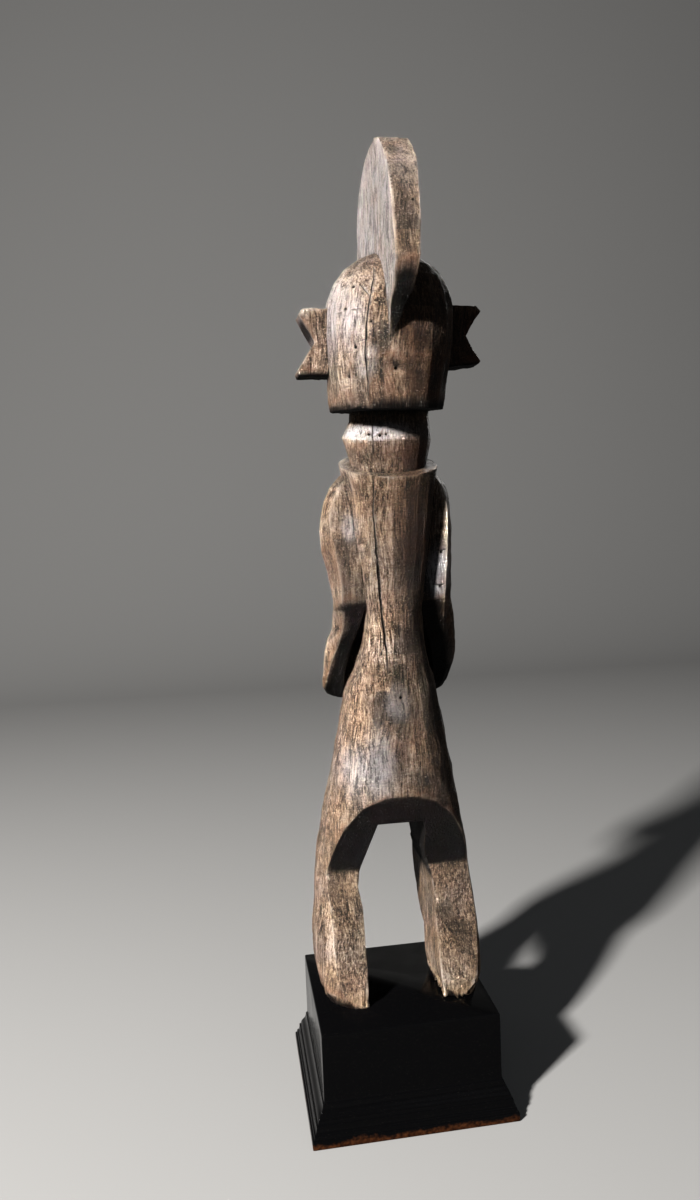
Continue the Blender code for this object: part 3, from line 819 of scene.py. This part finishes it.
# End grain at the feet, then the painted sheen, the reddish band round the painted shade, the paler ridges,
# the painted shadows and the painted shade
foot = reckon(tree, "MULTIPLY_ADD", height, -75.0, 6.1)
foot = reckon(tree, "MULTIPLY_ADD", reckon(tree, "SUBTRACT", crumbs, 0.5), 1.5, foot)
foot = add(tree, "ShaderNodeClamp", {"Value": foot}).outputs[0]
end_grain = ramp(tree, fibres, [(0.38, (0.05, 0.03, 0.016)), (0.6, (0.46, 0.33, 0.20))])
colour = blend_colours(tree, reckon(tree, "MULTIPLY", foot, 0.75), colour, end_grain)
# Painted sheen: a pale bluish colour stands in for the sheen and highlights on the given patches
sheen_by_tone = ramp(tree, tone, [(0.38, 0.3), (0.53, 1.0)])
painted_sheen = reckon(tree, "MULTIPLY", of_skin(tree, "painted_sheen"), sheen_by_tone)
colour = blend_colours(tree, reckon(tree, "MULTIPLY", painted_sheen, 0.72), colour, (0.37, 0.37, 0.395))
# The reddish band painted round the painted shade
painted_shade_rim = reckon(tree, "MULTIPLY", of_skin(tree, "painted_shade_rim"), 0.5)
colour = blend_colours(tree, painted_shade_rim, colour, (0.14, 0.065, 0.035))
# Paler ridges: rubbed wear, and a painted highlight along them
ridge_wear_and_highlight = reckon(tree, "MULTIPLY", of_skin(tree, "ridge_wear_and_highlight"), 0.75)
colour = blend_colours(tree, ridge_wear_and_highlight, colour, (0.50, 0.43, 0.37))
# Painted shadows darken the given patches
painted_shadow = reckon(tree, "MULTIPLY_ADD", reckon(tree, "SUBTRACT", patches, 0.5), 0.8, of_skin(tree, "painted_shadow"))
painted_shadow = add(tree, "ShaderNodeClamp", {"Value": painted_shadow, "Max": 0.92}).outputs[0]
shadowed_colour = blend_colours(tree, 1.0, colour, (0.24, 0.155, 0.105), "MULTIPLY")
colour = blend_colours(tree, painted_shadow, colour, shadowed_colour)
# Painted shade: the sheltered places, cracks and holes are made nearly black
painted_shade = of_skin(tree, "painted_shade")
shaded_colour = blend_colours(tree, 1.0, colour, (0.012, 0.007, 0.005), "MULTIPLY")
colour = blend_colours(tree, painted_shade, colour, shaded_colour)
tree.links.new(colour, shader.inputs["Base Color"])

# Dull wood with a thin sheen where it stands out and on the patches of painted sheen, and the fibres' own
# fine relief
polish = reckon(tree, "MULTIPLY_ADD", relief, -0.22, 0.80)
polish = reckon(tree, "MULTIPLY_ADD", reckon(tree, "SUBTRACT", patches, 0.5), -0.35, polish)
polish = reckon(tree, "MAXIMUM", polish, painted_shade)
polish = reckon(tree, "MULTIPLY_ADD", painted_sheen, -0.25, polish)
tree.links.new(polish, shader.inputs["Roughness"])
shader.inputs["Specular IOR Level"].default_value = 0.11
rough_height = reckon(tree, "MULTIPLY_ADD", fibres, 0.9, reckon(tree, "MULTIPLY", crumbs, 0.7))
rough_height = reckon(tree, "MULTIPLY_ADD", nick_lines, -0.35, rough_height)
rough_height = reckon(tree, "MULTIPLY_ADD", pore_dots, -0.5, rough_height)
bump = add(tree, "ShaderNodeBump", {"Height": rough_height, "Strength": 1.0, "Distance": 0.0013})
tree.links.new(bump.outputs["Normal"], shader.inputs["Normal"])

figure.data.materials.clear()
figure.data.materials.append(wood)
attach(figure, "root")
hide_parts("figure")

# Studio
# A plain floor that sweeps up beyond the statue, a small lamp high behind its left side, a weak one behind
# its right side, and one in front of it that lights the figure alone. The camera looks at the statue's back
# from where the photograph was taken.
SWEEP_NEAR = 9.0
SWEEP_TURN = -1.6
SWEEP_RADIUS = 1.2
SWEEP_TOP = 4.5
SWEEP_HALF_WIDTH = 5.0
LAMP_AIM = (0.0, 0.0, 0.34)
turn = np.linspace(0, np.pi / 2, 24)
run_y = SWEEP_TURN - SWEEP_RADIUS * np.sin(turn)
run_y = np.concatenate([[SWEEP_NEAR], run_y, [SWEEP_TURN - SWEEP_RADIUS]])
run_z = np.concatenate([[0.0], SWEEP_RADIUS * (1 - np.cos(turn)), [SWEEP_TOP]])
sides = np.array([-SWEEP_HALF_WIDTH, SWEEP_HALF_WIDTH])
sweep = np.stack(np.broadcast_arrays(sides[None], run_y[:, None], run_z[:, None]), axis=-1).reshape(-1, 3)
first = np.arange(len(run_y) - 1) * 2
floor = piece_of("studio_sweep", sweep, np.column_stack([first, first + 2, first + 3, first + 1]).tolist())
floor.data.shade_smooth()
paper = bpy.data.materials.new("pale_paper")
paper.use_nodes = True
shader = paper.node_tree.nodes["Principled BSDF"]
shader.inputs["Base Color"].default_value = (0.36, 0.36, 0.355, 1.0)
shader.inputs["Roughness"].default_value = 0.9
floor.data.materials.append(paper)


def lamp(name, place, size, power, colour):
    """A square lamp at a place, turned to face the statue's middle."""
    light = bpy.data.lights.new(name, "AREA")
    light.size = size
    light.energy = power
    light.color = colour
    thing = bpy.data.objects.new(name, light)
    thing.location = place
    thing.rotation_euler = (Vector(LAMP_AIM) - Vector(place)).to_track_quat("-Z", "Y").to_euler()
    bpy.context.scene.collection.objects.link(thing)
    return thing


lamp("key_lamp", (1.304, 1.259, 1.185), 0.16, 118.0, (1.0, 0.97, 0.94))
lamp("fill_lamp", (-0.9, 2.2, 1.1), 1.2, 3.0, (0.9, 0.95, 1.0))
front_lamp = lamp("front_lamp", (-0.7, -2.1, 1.2), 1.2, 60.0, (1.0, 0.98, 0.95))
front_lamp.light_linking.receiver_collection = bpy.data.collections.new("lit_from_the_front")
front_lamp.light_linking.receiver_collection.objects.link(figure)

# The air lights the statue faintly and looks pale beyond the sweep. The shadows stay nearly black, because
# matt surfaces pass no light on.
world = bpy.data.worlds.new("studio_air")
world.use_nodes = True
air = world.node_tree.nodes["Background"]
air.inputs["Color"].default_value = (0.93, 0.96, 1.0, 1.0)
seen = add(world.node_tree, "ShaderNodeLightPath").outputs["Is Camera Ray"]
world.node_tree.links.new(reckon(world.node_tree, "MULTIPLY_ADD", seen, 0.3, 0.045), air.inputs["Strength"])
bpy.context.scene.world = world
bpy.context.scene.view_settings.view_transform = "Standard"
bpy.context.scene.cycles.diffuse_bounces = 0

view = bpy.data.cameras.new("camera")
view.sensor_width = 36.0
view.lens = 28.91
view.shift_x = -0.0283
camera = bpy.data.objects.new("camera", view)
camera.location = (0.1058, 0.6299, 0.3875)
camera.rotation_euler = np.radians([85.093, 2.068, 170.150])
bpy.context.scene.collection.objects.link(camera)
bpy.context.scene.camera = camera
